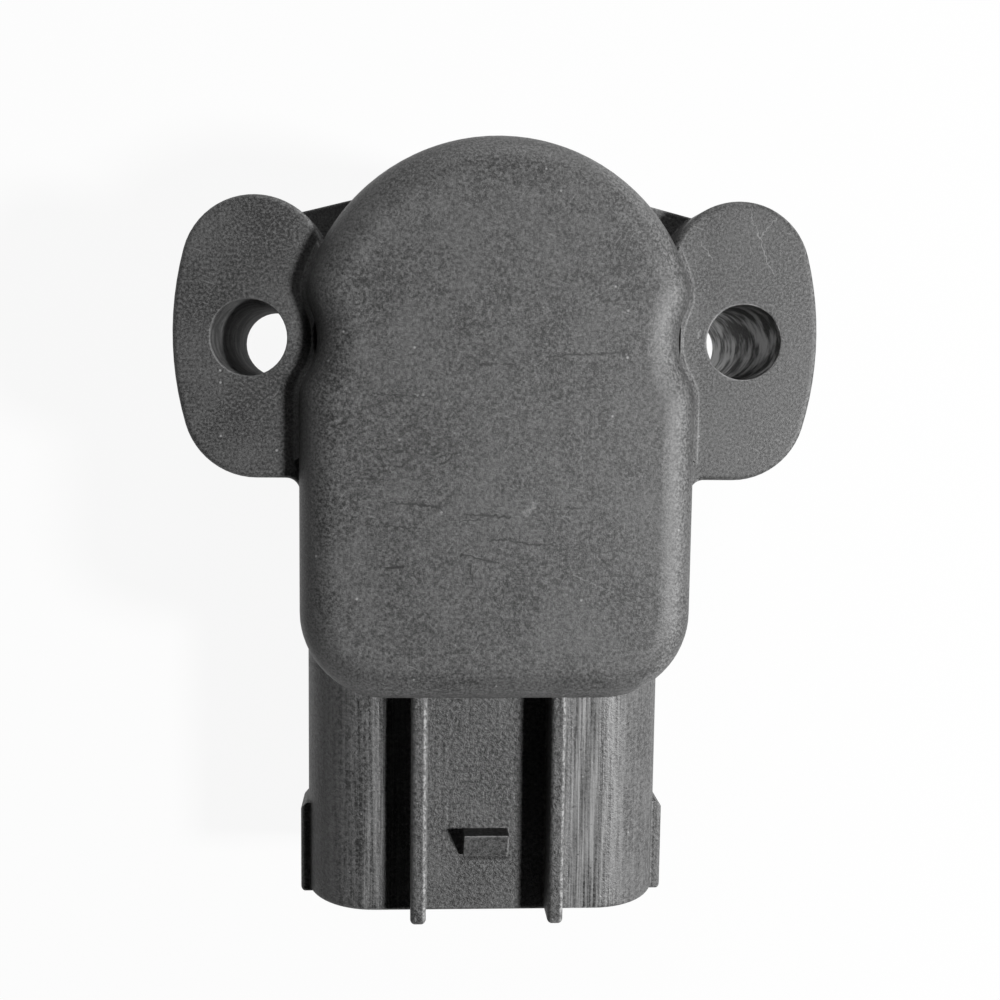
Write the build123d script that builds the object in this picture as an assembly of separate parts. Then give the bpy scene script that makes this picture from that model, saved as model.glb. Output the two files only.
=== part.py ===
from build123d import *
import math
import os

# Throttle position sensor, in millimetres. The origin is on the rotor's axis in the mounting face,
# +Z points away from the throttle body, and the plug socket opens towards -Y.

# Mounting ears
HOLE_SPACING = 36.0
HOLE_D = 5.5  # plain clearance hole for an M5 screw
EAR_MARGIN = 5.5  # centre of a hole to the bowed outer edge of its ear
EAR_LAP = 1.5  # how far an ear's inner edge lies within the round of the body
EAR_HALF_SWEEP = 15.5  # degrees from the hole to the centre of an end round
EAR_TOP_Z = 19.0
EAR_EDGE_R = 0.4
EAR_ROOT_SHARE = 0.32  # share of the foot's straight side that the round at its root takes
EAR_WALL = 1.8  # wall left round the cores in the underside
EAR_ROOF = 2.4
HOLE_TUBE_WALL = 1.6
CORE_CORNER_SHARE = 0.1  # share of a core's length that the round of its corners takes

# Webs between the ears and the body
WEB_BODY_R = 12.5
WEB_EAR_R = 3.5
WEB_DROP = 2.6  # below the ear's top

# Body
BODY_R = 14.4
BODY_FRONT = 26.4  # rotor axis to the flat front of the body
BODY_CORNER_R = 6.5
BODY_WALL = 2.0
ROOF_T = 2.7
DOME_RISE = 2.9  # above the ear's top
DOME_SIDE = 0.1  # straight side left below the dome's round
WAIST_DEPTH = 1.3  # bite into each side of the dome that leaves room for a screw head
WAIST_BLEND_EXTRA = 0.5  # by which the waist's ends are rounder in plan than the dome's edge
DOME_FOOT = 0.4  # bevel where the dome meets the ears
DOME_FOOT_LAP = 0.2  # how far that bevel runs on into the dome's side

# Plug shroud
SHROUD_W = 29.7
SHROUD_H = 11.6
SHROUD_FLOOR_Z = 0.4
SHROUD_END = 46.4  # rotor axis to the mouth of the socket
SHROUD_ROOT = 21.5
SHROUD_WALL = 1.5
SHROUD_EDGE_R = 0.35
SOCKET_DEPTH = 16.5
SOCKET_LEAD_IN = 0.5
RIB_OFFSET = 5.5
RIB_T = 1.25
RIB_H = 2.65
RIB_EDGE_R = 0.4
NUB_W = 3.6
NUB_H = 1.65
NUB_TOE_H = 0.4
NUB_LENGTH = 2.2
NUB_SETBACK = 7.0  # mouth of the socket to the latching face of the nub
RIB_SINK = 0.3  # how far ribs and nub run into the wall that carries them
RAIL_PROUD = 0.57
RAIL_ROOT = 1.2
RAIL_LENGTH = 7.7
RAIL_H = 3.8
RAIL_DROP = 4.0  # below the top of the shroud
RAIL_EDGE_R = 0.4
RAIL_LEAD_IN = 0.5

# Base cover and register spigot
COVER_T = 2.4
COVER_RIM = 1.0  # width of the housing's rim round the cover
COVER_GAP = 0.08
COVER_RECESS = 0.15  # below the mounting face, so that the ears seat first
TUBE_WALL = 1.9
TUBE_TOP_Z = 6.4
SPIGOT_R = 11.0
SPIGOT_BORE_R = 8.2
SPIGOT_LENGTH = 4.0
SPIGOT_CHAMFER = 0.5

# Mounting seal
SEAL_WIRE_D = 1.7
SEAL_PROUD = 0.2  # past the spigot before fitting
SEAL_GROOVE_GAP = 0.15  # each side of the ring
SEAL_CENTRE_Z = -2.0

# Rotor
HUB_D = 12.0
HUB_END_Z = -3.0
HUB_CHAMFER = 0.5
BEARING_GAP = 0.04
THRUST_GAP = 0.15
BARREL_R = 7.4
FLANGE_T = 2.2
FLANGE_TOP_Z = 15.6
PIVOT_D = 4.0
PIVOT_LENGTH = 3.2
PIVOT_CHAMFER = 0.4
BOSS_WALL = 1.5
BOSS_FLANGE_GAP = 0.6
PIVOT_END_GAP = 0.5
DRIVE_D = 8.6  # takes the flatted end of an 8 mm throttle shaft
DRIVE_FLATS = 4.5
DRIVE_DEPTH = 9.0

# Travel and stops
TRAVEL = 95.0  # degrees from closed to open
LUG_ANGLE = 42.0
LUG_W = 2.4
LUG_PROUD = 1.3  # past the rim of the flange
LUG_WALL_GAP = 0.3
STOP_W = 2.0
STOP_GAP = 0.2
STOP_FLANGE_GAP = 0.3

# Return spring
WIRE_D = 0.7
WIRE_SIDES = 8  # flat sides that stand for the round of the wire
COIL_R = 9.4
COIL_TURNS = 4.5
COIL_END_GAP = 0.6
COIL_START_ANGLE = 200.0
SPRING_HOLE_GAP = 0.1
LEG_DEPTH = 1.3
LEG_BEND_R = 0.8

# Resistor board
BOARD_T = 1.0
BOARD_GAP = 0.3
TRACK_T = 0.1
TRACK_W = 1.5
LEAD_W = 1.0
PAD_R = 1.3
TRACK_MARGIN = 1.8  # rim of the flange to the middle of the outer track
TRACK_PITCH = 2.7
TRACK_START = 22.0
TRACK_END = 158.0
LEAD_BEND_Y = -14.0

# Wiper
WIPER_T = 0.2
WIPER_ANGLE = 42.0
WIPER_CONTACT_GAP = 0.08
FINGER_W = 0.45
FINGER_PITCH = 0.65
FINGERS_PER_TRACK = 2
CONTACT_LEAD = 3.0  # contact line ahead of the rotor's radius through the wiper
BASE_BACK = 4.4
BASE_FRONT = 1.3
BASE_MARGIN = 0.7
KNUCKLE_LENGTH = 0.8
KNUCKLE_DROP = 0.5
KNUCKLE_R = 0.3
STAKE_D = 1.2
STAKE_HEAD_D = 1.9
STAKE_HEAD_T = 0.4
STAKE_GAP = 0.05

# Terminals
BLADE_W = 2.8
BLADE_T = 0.8
BLADE_PITCH = 5.0
BLADE_RECESS = 6.0  # mouth of the socket to the blade's tip
BLADE_TIP_CHAMFER = 0.25
LEG_W = 1.5
LEG_SETBACK = 2.6  # front wall of the chamber to the middle of the upright leg
SOLDER_R = 1.2
SOLDER_H = 0.9

# Levels and lengths that follow from the sizes above
EAR_REACH = HOLE_SPACING / 2 + EAR_MARGIN
EAR_END_R = (EAR_REACH - BODY_R + EAR_LAP) / 2
WAIST_R = HOLE_SPACING / 2 - BODY_R + WAIST_DEPTH
DOME_EDGE_R = DOME_RISE - DOME_SIDE
WAIST_BLEND_R = DOME_EDGE_R + WAIST_BLEND_EXTRA
FACE_Z = EAR_TOP_Z + DOME_RISE
ROOF_Z = FACE_Z - ROOF_T
SHROUD_TOP_Z = SHROUD_FLOOR_Z + SHROUD_H
BLADE_Z = SHROUD_FLOOR_Z + SHROUD_H / 2
SOCKET_FLOOR = SHROUD_END - SOCKET_DEPTH
CAVITY_R = BODY_R - BODY_WALL
CAVITY_FRONT = BODY_FRONT - BODY_WALL
FLANGE_R = CAVITY_R - LUG_WALL_GAP - LUG_PROUD
TRACK_OUTER_R = FLANGE_R - TRACK_MARGIN
TRACK_INNER_R = TRACK_OUTER_R - TRACK_PITCH
BOARD_Z = ROOF_Z - BOARD_T
TRACK_Z = BOARD_Z - TRACK_T
FLANGE_Z = FLANGE_TOP_Z - FLANGE_T
BEARING_R = HUB_D / 2 + BEARING_GAP
BOSS_R = PIVOT_D / 2 + BEARING_GAP + BOSS_WALL
LEG_Y = LEG_SETBACK - CAVITY_FRONT
COIL_BOTTOM_Z = COVER_T + COIL_END_GAP + WIRE_D / 2
COIL_TOP_Z = FLANGE_Z - COIL_END_GAP - WIRE_D / 2
COIL_END_ANGLE = COIL_START_ANGLE + 360.0 * COIL_TURNS
SPRING_HOLE_R = WIRE_D / 2 + SPRING_HOLE_GAP
STAKE_Y = -(BASE_BACK + BASE_FRONT) / 2
TOUCH = 0.01  # how near counts as meeting


def polar(radius, degrees):
    """Point at a radius and an angle about the rotor's axis."""
    angle = math.radians(degrees)
    return (radius * math.cos(angle), radius * math.sin(angle))


def body_outline(inset):
    """Keyhole outline of the body: a half round over a block with two rounded front corners."""
    half = BODY_R - inset
    front = BODY_FRONT - inset
    block = Pos(0, -front / 2) * Rectangle(2 * half, front)
    corners = block.vertices().group_by(Axis.Y)[0]
    return fillet(corners, BODY_CORNER_R - inset) + Circle(half)


def ear_outline(inset):
    """Rounded arc that follows the rotor's axis, on the +X side."""
    middle = CenterArc((0, 0), EAR_REACH - EAR_END_R, -EAR_HALF_SWEEP, 2 * EAR_HALF_SWEEP)
    return SlotArc(middle, 2 * (EAR_END_R - inset))


def ear_foot():
    """How far an ear reaches from the line of the holes, towards either end."""
    return polar(EAR_REACH - EAR_END_R, EAR_HALF_SWEEP)[1] + EAR_END_R


def ear():
    """Solid ear with a straight foot, a rounded root and rounded top edges, before its hole is cut."""
    end_x = polar(EAR_REACH - EAR_END_R, EAR_HALF_SWEEP)[0]
    foot_y = ear_foot()
    foot = Pos((CAVITY_R + end_x) / 2, -foot_y / 2) * Rectangle(end_x - CAVITY_R, foot_y)
    root_r = EAR_ROOT_SHARE * (end_x - BODY_R)
    side_length = foot_y + 2 * root_r
    side = Pos((CAVITY_R + BODY_R) / 2, -side_length / 2) * Rectangle(BODY_R - CAVITY_R, side_length)
    outline = ear_outline(0) + foot + side
    root = outline.vertices().sort_by_distance((BODY_R, -foot_y))[0]
    block = extrude(fillet(root, root_r), EAR_TOP_Z)
    return fillet(block.faces().sort_by(Axis.Z)[-1].edges(), EAR_EDGE_R)


def web():
    """Lower web that runs from the round of an ear to the body."""
    end = Pos(*polar(EAR_REACH - EAR_END_R, EAR_HALF_SWEEP)) * Circle(WEB_EAR_R)
    hull = make_hull(end.edges() + Circle(WEB_BODY_R).edges())
    return extrude(hull, EAR_TOP_Z - WEB_DROP)


def ear_cores():
    """Screw hole and the two cores that keep the ear's walls even."""
    hole = Pos(HOLE_SPACING / 2, 0) * Circle(HOLE_D / 2)
    tube_r = HOLE_D / 2 + HOLE_TUBE_WALL
    cores = ear_outline(EAR_WALL) - Pos(HOLE_SPACING / 2, 0) * Circle(tube_r)
    corner_r = CORE_CORNER_SHARE * (ear_foot() - EAR_WALL - tube_r)
    cores = fillet(corners_round_hole(cores, tube_r), corner_r)
    return extrude(hole, EAR_TOP_Z) + extrude(cores, EAR_TOP_Z - EAR_ROOF)


def dome_outline(outset):
    """Outline of the body with a waist beside each screw hole, grown all round by the outset."""
    outline = body_outline(-outset)
    waist_r = WAIST_R - outset
    for side in (-1, 1):
        outline -= Pos(side * HOLE_SPACING / 2, 0) * Circle(waist_r)
    return fillet(corners_round_hole(outline, waist_r), WAIST_BLEND_R + outset)


def dome():
    """Raised top of the body, rounded over, with a narrow bevelled foot on the ears."""
    top = Pos(0, 0, EAR_TOP_Z) * extrude(dome_outline(0), DOME_RISE)
    top = fillet(top.faces().sort_by(Axis.Z)[-1].edges(), DOME_EDGE_R)
    bevel = DOME_FOOT + DOME_FOOT_LAP
    skirt = extrude(dome_outline(DOME_FOOT), DOME_FOOT + bevel)
    skirt = chamfer(skirt.faces().sort_by(Axis.Z)[-1].edges(), bevel)
    seat = extrude(ear_outline(EAR_EDGE_R), DOME_FOOT + bevel)
    foot = Pos(0, 0, EAR_TOP_Z - DOME_FOOT) * (skirt & seat)
    return top + foot + mirror(foot, Plane.YZ)


def corners_round_hole(outline, radius):
    """Corners of an outline that lie on a circle about either screw hole."""
    corners = []
    for corner in outline.vertices():
        reach = math.hypot(abs(corner.X) - HOLE_SPACING / 2, corner.Y)
        if abs(reach - radius) < TOUCH:
            corners.append(corner)
    return corners


def shroud_section(inset):
    """Obround section of the plug shroud, in the XZ plane."""
    return Plane.XZ * Pos(0, BLADE_Z) * SlotOverall(SHROUD_W - 2 * inset, SHROUD_H - 2 * inset)


def shroud():
    """Obround shroud with its socket, guide ribs, lock nub and side rails."""
    tube = Pos(0, -SHROUD_ROOT, 0) * extrude(shroud_section(0), SHROUD_END - SHROUD_ROOT)
    tube = fillet(tube.faces().sort_by(Axis.Y)[0].edges(), SHROUD_EDGE_R)
    tube -= Pos(0, -SOCKET_FLOOR, 0) * extrude(shroud_section(SHROUD_WALL), SOCKET_DEPTH)
    mouth = tube.faces().sort_by(Axis.Y)[0].inner_wires()[0]
    tube = chamfer(mouth.edges(), SOCKET_LEAD_IN)
    for side in (-1, 1):
        tube += Pos(side * RIB_OFFSET, 0, 0) * rib()
    tube += lock_nub()
    tube += rail()
    tube += mirror(rail(), Plane.YZ)
    return tube


def rib():
    """Guide rib along the top of the shroud, flush with its mouth."""
    length = SHROUD_END - BODY_FRONT + RIB_SINK
    height = RIB_H + RIB_SINK
    middle_y = -(SHROUD_END - length / 2)
    bar = Pos(0, middle_y, SHROUD_TOP_Z - RIB_SINK + height / 2) * Box(RIB_T, length, height)
    rounded = bar.faces().sort_by(Axis.Z)[-1].edges() + bar.faces().sort_by(Axis.Y)[0].edges()
    return fillet(rounded, RIB_EDGE_R)


def lock_nub():
    """Ramp that the plug's latch rides over, steep towards the body."""
    back = NUB_SETBACK - SHROUD_END
    front = back - NUB_LENGTH
    profile = Polyline(
        (back, SHROUD_TOP_Z - RIB_SINK),
        (back, SHROUD_TOP_Z + NUB_H),
        (front, SHROUD_TOP_Z + NUB_TOE_H),
        (front, SHROUD_TOP_Z - RIB_SINK),
        close=True,
    )
    face = Plane.YZ * make_face(profile)
    return Pos(-NUB_W / 2, 0, 0) * extrude(face, NUB_W)


def rail():
    """Thin rail on the +X side of the shroud, chamfered at its start."""
    width = RAIL_ROOT + RAIL_PROUD
    x = SHROUD_W / 2 + RAIL_PROUD - width / 2
    y = RAIL_LENGTH / 2 - SHROUD_END
    z = SHROUD_TOP_Z - RAIL_DROP - RAIL_H / 2
    bar = Pos(x, y, z) * Box(width, RAIL_LENGTH, RAIL_H)
    start = bar.faces().sort_by(Axis.Y)[-1].edges().sort_by(Axis.X)[-1]
    bar = chamfer(start, RAIL_LEAD_IN)
    return fillet(bar.faces().sort_by(Axis.X)[-1].edges(), RAIL_EDGE_R)


def terminal(offset):
    """Bent terminal: flat blade in the socket, narrow leg up to the board."""
    tip = BLADE_RECESS - SHROUD_END
    length = LEG_Y + BLADE_T / 2 - tip
    blade = Pos(0, tip + length / 2, BLADE_Z) * Box(BLADE_W, length, BLADE_T)
    blade = chamfer(blade.faces().sort_by(Axis.Y)[0].edges(), BLADE_TIP_CHAMFER)
    rise = TRACK_Z - BLADE_Z + BLADE_T / 2
    leg = Pos(0, LEG_Y, BLADE_Z - BLADE_T / 2 + rise / 2) * Box(LEG_W, BLADE_T, rise)
    return Pos(offset, 0, 0) * (blade + leg)


def solder_joint(offset):
    """Cone of solder round the top of a terminal's leg."""
    cone = Pos(offset, LEG_Y, TRACK_Z - SOLDER_H / 2) * Cone(LEG_W / 2, SOLDER_R, SOLDER_H)
    return cone - terminal(offset)


def stop_rib(degrees, room):
    """Rib on the chamber's wall that stops the rotor's lug, larger all round by the room given."""
    inner = FLANGE_R + STOP_FLANGE_GAP - room
    outer = CAVITY_R + BODY_WALL / 2
    height = ROOF_Z - FLANGE_Z
    bar = Pos((inner + outer) / 2, 0, ROOF_Z - height / 2) * Box(outer - inner, STOP_W + 2 * room, height)
    return Rot(0, 0, degrees) * bar


def stop_angles():
    """Angles of the two stops: lug against the first when closed, against the second when open."""
    return (LUG_ANGLE - stop_offset(), LUG_ANGLE + TRAVEL + stop_offset())


def stop_offset():
    """Angle between the middle of the lug and the middle of a stop that it rests against."""
    reach = (LUG_W + STOP_W) / 2 + STOP_GAP
    return math.degrees(math.asin(reach / (FLANGE_R + STOP_FLANGE_GAP)))


def housing(terminals):
    """One moulding: body, ears, webs, dome and shroud, hollow for the rotor and the plug."""
    shell = extrude(body_outline(0), EAR_TOP_Z)
    for half in (ear(), web()):
        shell += half + mirror(half, Plane.YZ)
    shell += dome()
    shell += shroud()
    for cut in (ear_cores(), mirror(ear_cores(), Plane.YZ)):
        shell -= cut
    shell -= extrude(body_outline(COVER_RIM), COVER_T)
    shell -= extrude(body_outline(BODY_WALL), ROOF_Z)
    for degrees in stop_angles():
        shell += stop_rib(degrees, 0)
    boss_height = ROOF_Z - FLANGE_TOP_Z - BOSS_FLANGE_GAP
    shell += Pos(0, 0, ROOF_Z - boss_height / 2) * Cylinder(BOSS_R, boss_height)
    bore_top = FLANGE_TOP_Z + PIVOT_LENGTH + PIVOT_END_GAP
    bore_depth = bore_top - (ROOF_Z - boss_height)
    bore_r = PIVOT_D / 2 + BEARING_GAP
    shell -= Pos(0, 0, bore_top - bore_depth / 2) * Cylinder(bore_r, bore_depth)
    for blade in terminals:
        shell -= blade
    return shell


def base_cover():
    """Plate with the rotor's bearing tube above it and the register spigot below."""
    plate = Pos(0, 0, COVER_RECESS) * extrude(body_outline(COVER_RIM + COVER_GAP), COVER_T - COVER_RECESS)
    tube_height = TUBE_TOP_Z - COVER_RECESS
    plate += Pos(0, 0, COVER_RECESS + tube_height / 2) * Cylinder(BEARING_R + TUBE_WALL, tube_height)
    spigot_height = SPIGOT_LENGTH + COVER_T
    spigot = Pos(0, 0, COVER_T - spigot_height / 2) * Cylinder(SPIGOT_R, spigot_height)
    spigot = chamfer(spigot.faces().sort_by(Axis.Z)[0].edges(), SPIGOT_CHAMFER)
    plate += spigot
    hollow = SPIGOT_LENGTH + COVER_RECESS
    plate -= Pos(0, 0, COVER_RECESS - hollow / 2) * Cylinder(SPIGOT_BORE_R, hollow)
    plate -= Pos(0, 0, COVER_RECESS + tube_height / 2) * Cylinder(BEARING_R, tube_height)
    groove_w = SEAL_WIRE_D + 2 * SEAL_GROOVE_GAP
    groove_r = SPIGOT_R + SEAL_PROUD - SEAL_WIRE_D
    groove = Cylinder(SPIGOT_R + SEAL_WIRE_D, groove_w) - Cylinder(groove_r, groove_w)
    plate -= Pos(0, 0, SEAL_CENTRE_Z) * groove
    x, y = leg_place(COIL_START_ANGLE, -1)
    depth = LEG_DEPTH + SPRING_HOLE_GAP
    plate -= Pos(x, y, COVER_T - depth / 2) * Cylinder(SPRING_HOLE_R, depth)
    return plate


def mounting_seal():
    """O-ring in the groove of the spigot."""
    middle_r = SPIGOT_R + SEAL_PROUD - SEAL_WIRE_D / 2
    return Pos(0, 0, SEAL_CENTRE_Z) * Torus(middle_r, SEAL_WIRE_D / 2)


def rotor():
    """Hub, barrel, flange and pivot in one moulding, with drive socket, stop lug and stakes."""
    shoulder_z = TUBE_TOP_Z + THRUST_GAP
    hub_height = shoulder_z - HUB_END_Z
    body = Pos(0, 0, HUB_END_Z + hub_height / 2) * Cylinder(HUB_D / 2, hub_height)
    body = chamfer(body.faces().sort_by(Axis.Z)[0].edges(), HUB_CHAMFER)
    barrel_height = FLANGE_Z - shoulder_z
    body += Pos(0, 0, shoulder_z + barrel_height / 2) * Cylinder(BARREL_R, barrel_height)
    body += Pos(0, 0, FLANGE_Z + FLANGE_T / 2) * Cylinder(FLANGE_R, FLANGE_T)
    pivot = Pos(0, 0, FLANGE_TOP_Z + PIVOT_LENGTH / 2) * Cylinder(PIVOT_D / 2, PIVOT_LENGTH)
    body += chamfer(pivot.faces().sort_by(Axis.Z)[-1].edges(), PIVOT_CHAMFER)
    lug_reach = CAVITY_R - LUG_WALL_GAP
    lug = Pos(lug_reach / 2, 0, FLANGE_Z + FLANGE_T / 2) * Box(lug_reach, LUG_W, FLANGE_T)
    lug &= Pos(0, 0, FLANGE_Z + FLANGE_T / 2) * Cylinder(lug_reach, FLANGE_T)
    body += Rot(0, 0, LUG_ANGLE) * lug
    socket = Circle(DRIVE_D / 2) & Rectangle(DRIVE_D, DRIVE_FLATS)
    body -= Pos(0, 0, HUB_END_Z) * extrude(socket, DRIVE_DEPTH)
    x, y = leg_place(COIL_END_ANGLE, 1)
    depth = LEG_DEPTH + SPRING_HOLE_GAP
    body -= Pos(x, y, FLANGE_Z + depth / 2) * Cylinder(SPRING_HOLE_R, depth)
    for radius in stake_radii():
        shank_height = WIPER_T + STAKE_GAP
        shank = Pos(radius, STAKE_Y, FLANGE_TOP_Z + shank_height / 2) * Cylinder(STAKE_D / 2, shank_height)
        head_z = FLANGE_TOP_Z + shank_height + STAKE_HEAD_T / 2
        head = Pos(radius, STAKE_Y, head_z) * Cylinder(STAKE_HEAD_D / 2, STAKE_HEAD_T)
        body += Rot(0, 0, WIPER_ANGLE) * (shank + head)
    return body


def arm_offset(track_r):
    """Distance of a finger pair from the wiper's radius line, so that its contact lies on the track."""
    return math.sqrt(track_r**2 - CONTACT_LEAD**2)


def stake_radii():
    """Places of the two heat stakes across the wiper's base."""
    return (arm_offset(TRACK_INNER_R), arm_offset(TRACK_OUTER_R))


def wiper():
    """Stamped strip: flat base on the rotor, four fingers bent up to the tracks."""
    base_z = FLANGE_TOP_Z + WIPER_T / 2
    contact_z = TRACK_Z - WIPER_CONTACT_GAP - WIPER_T / 2
    path = FilletPolyline(
        (-BASE_BACK, base_z),
        (-BASE_FRONT, base_z),
        (CONTACT_LEAD, contact_z),
        (CONTACT_LEAD + KNUCKLE_LENGTH, contact_z - KNUCKLE_DROP),
        radius=KNUCKLE_R,
    )
    finger_path = Plane.YZ * path
    start = Plane(origin=(0, -BASE_BACK, base_z), x_dir=(1, 0, 0), z_dir=(0, 1, 0))
    section = start * Rectangle(FINGER_W, WIPER_T)
    inner, outer = stake_radii()
    strip = None
    for middle in (inner, outer):
        for number in range(FINGERS_PER_TRACK):
            shift = (number - (FINGERS_PER_TRACK - 1) / 2) * FINGER_PITCH
            finger = Pos(middle + shift, 0, 0) * sweep(section, path=finger_path)
            strip = finger if strip is None else strip + finger
    base_w = outer - inner + FINGER_PITCH * FINGERS_PER_TRACK + BASE_MARGIN
    base_length = BASE_BACK - BASE_FRONT
    base = Pos((inner + outer) / 2, STAKE_Y, base_z) * Box(base_w, base_length, WIPER_T)
    strip += base
    for radius in (inner, outer):
        strip -= Pos(radius, STAKE_Y, base_z) * Cylinder(STAKE_D / 2 + STAKE_GAP, WIPER_T)
    return Rot(0, 0, WIPER_ANGLE) * strip


def leg_place(degrees, ahead):
    """Where a leg of the spring stands: one bend past the end of the coil."""
    x, y = polar(COIL_R, degrees)
    step_x, step_y = polar(ahead * LEG_BEND_R * (1 - math.sin(coil_slope())), degrees + 90)
    return (x + step_x, y + step_y)


def coil_slope():
    """Climb of the coil, in radians."""
    return math.atan2(COIL_TOP_Z - COIL_BOTTOM_Z, 2 * math.pi * COIL_R * COIL_TURNS)


def return_spring():
    """Torsion coil with its two ends bent into the cover and the flange."""
    height = COIL_TOP_Z - COIL_BOTTOM_Z
    coil = Pos(0, 0, COIL_BOTTOM_Z) * Helix(height / COIL_TURNS, height, COIL_R)
    coil = Rot(0, 0, COIL_START_ANGLE) * coil
    bend_rise = LEG_BEND_R * math.cos(coil_slope())
    low = Vector(*leg_place(COIL_START_ANGLE, -1), COIL_BOTTOM_Z - bend_rise)
    high = Vector(*leg_place(COIL_END_ANGLE, 1), COIL_TOP_Z + bend_rise)
    low_end = Vector(low.X, low.Y, COVER_T - LEG_DEPTH)
    high_end = Vector(high.X, high.Y, FLANGE_Z + LEG_DEPTH)
    path = Wire([
        Line(low_end, low),
        TangentArc(low, coil @ 0, tangent=(0, 0, 1)),
        coil,
        TangentArc(coil @ 1, high, tangent=coil % 1),
        Line(high, high_end),
    ])
    section = Plane(origin=low_end, z_dir=(0, 0, 1)) * RegularPolygon(WIRE_D / 2, WIRE_SIDES)
    return sweep(section, path=path)


def printed_line(points, width):
    """Straight printed leads through a few points, with round ends."""
    line = None
    for start, end in zip(points, points[1:]):
        piece = SlotCenterToCenter((Vector(end) - Vector(start)).length, width)
        middle = (Vector(start) + Vector(end)) / 2
        turn = math.degrees(math.atan2(end[1] - start[1], end[0] - start[0]))
        placed = Pos(middle.X, middle.Y) * Rot(0, 0, turn) * piece
        line = placed if line is None else line + placed
    return line


def resistor_board():
    """Ceramic board under the roof, with the two arc tracks and their leads standing proud below it."""
    outline = body_outline(BODY_WALL + BOARD_GAP) - Circle(BOSS_R + BOARD_GAP)
    board = Pos(0, 0, BOARD_Z) * extrude(outline, BOARD_T)
    for degrees in stop_angles():
        board -= stop_rib(degrees, BOARD_GAP)
    print_area = None
    sweep_angle = TRACK_END - TRACK_START
    for radius in (TRACK_INNER_R, TRACK_OUTER_R):
        track = SlotArc(CenterArc((0, 0), radius, TRACK_START, sweep_angle), TRACK_W)
        print_area = track if print_area is None else print_area + track
    outer_x = TRACK_OUTER_R
    leads = (
        (polar(TRACK_OUTER_R, TRACK_START), (outer_x, 0), (outer_x, LEAD_BEND_Y), (BLADE_PITCH, LEG_Y)),
        (polar(TRACK_OUTER_R, TRACK_END), (-outer_x, 0), (-outer_x, LEAD_BEND_Y), (-BLADE_PITCH, LEG_Y)),
        (polar(TRACK_INNER_R, TRACK_END), (-TRACK_INNER_R, 0), (0, LEAD_BEND_Y), (0, LEG_Y)),
    )
    for points in leads:
        print_area += printed_line(points, LEAD_W)
    for number in (-1, 0, 1):
        print_area += Pos(number * BLADE_PITCH, LEG_Y) * Circle(PAD_R)
    return board + Pos(0, 0, TRACK_Z) * extrude(print_area, TRACK_T)


def save(name, solid):
    """Write one node."""
    export_step(solid, os.path.join("parts", name + ".step"))


os.makedirs("parts", exist_ok=True)
terminal_names = ("terminal_supply", "terminal_signal", "terminal_ground")
offsets = [number * BLADE_PITCH for number in (-1, 0, 1)]
terminals = [terminal(offset) for offset in offsets]
save("housing", housing(terminals))
save("base_cover", base_cover())
save("mounting_seal", mounting_seal())
save("rotor", rotor())
save("return_spring", return_spring())
save("wiper", wiper())
save("resistor_board", resistor_board())
for name, solid in zip(terminal_names, terminals):
    save(name, solid)
save("solder_joints", Compound([solder_joint(offset) for offset in offsets]))
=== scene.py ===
import math

import bpy
from bpy.props import FloatProperty, FloatVectorProperty, PointerProperty
from mathutils import Euler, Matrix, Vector


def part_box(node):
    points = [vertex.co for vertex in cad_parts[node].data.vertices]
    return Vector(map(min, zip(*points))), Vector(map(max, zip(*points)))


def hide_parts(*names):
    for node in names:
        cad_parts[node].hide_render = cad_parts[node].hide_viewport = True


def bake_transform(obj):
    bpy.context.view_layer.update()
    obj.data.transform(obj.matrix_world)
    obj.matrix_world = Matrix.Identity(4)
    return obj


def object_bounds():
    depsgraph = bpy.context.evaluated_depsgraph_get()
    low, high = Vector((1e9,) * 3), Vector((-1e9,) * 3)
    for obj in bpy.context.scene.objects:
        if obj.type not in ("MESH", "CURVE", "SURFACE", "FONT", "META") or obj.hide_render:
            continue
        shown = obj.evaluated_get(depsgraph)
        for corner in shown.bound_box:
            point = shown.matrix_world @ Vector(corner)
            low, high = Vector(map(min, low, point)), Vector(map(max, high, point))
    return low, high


bl_info = {
    "name": "Throttle Position Sensor",
    "version": (1, 0, 0),
    "blender": (4, 5, 0),
    "location": "View3D > Sidebar > Sensor",
    "description": "Gives the packed throttle position sensor its finishes and sets it on a white stage",
    "category": "Object",
}

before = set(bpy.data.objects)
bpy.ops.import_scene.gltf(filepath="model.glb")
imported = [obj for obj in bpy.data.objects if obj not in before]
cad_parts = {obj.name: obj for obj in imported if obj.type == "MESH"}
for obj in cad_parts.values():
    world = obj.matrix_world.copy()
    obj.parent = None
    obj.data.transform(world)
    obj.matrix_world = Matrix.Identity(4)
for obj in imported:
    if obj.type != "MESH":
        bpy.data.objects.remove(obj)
CAD_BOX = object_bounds()

MM = 0.001

# Node kinds that most materials share
MATH = "ShaderNodeMath"
VECTOR = "ShaderNodeVectorMath"
SPLIT = "ShaderNodeSeparateXYZ"
RAMP = "ShaderNodeMapRange"
NOISE = "ShaderNodeTexNoise"
MIX = "ShaderNodeMix"

# Numbers of the Mix node's colour sockets, because it has several sockets of the same name
MIX_UNDER = 6
MIX_OVER = 7
MIX_RESULT = 2

# Places on the housing, in millimetres of the frame
DOME_FACE = CAD_BOX[1].z / MM
EAR_FACE = 19.0
BODY_FRONT = -26.4
SHROUD_FACE = 12.0
SCREW_X = 18.0
SCREW_HOLE_R = 2.75

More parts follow.
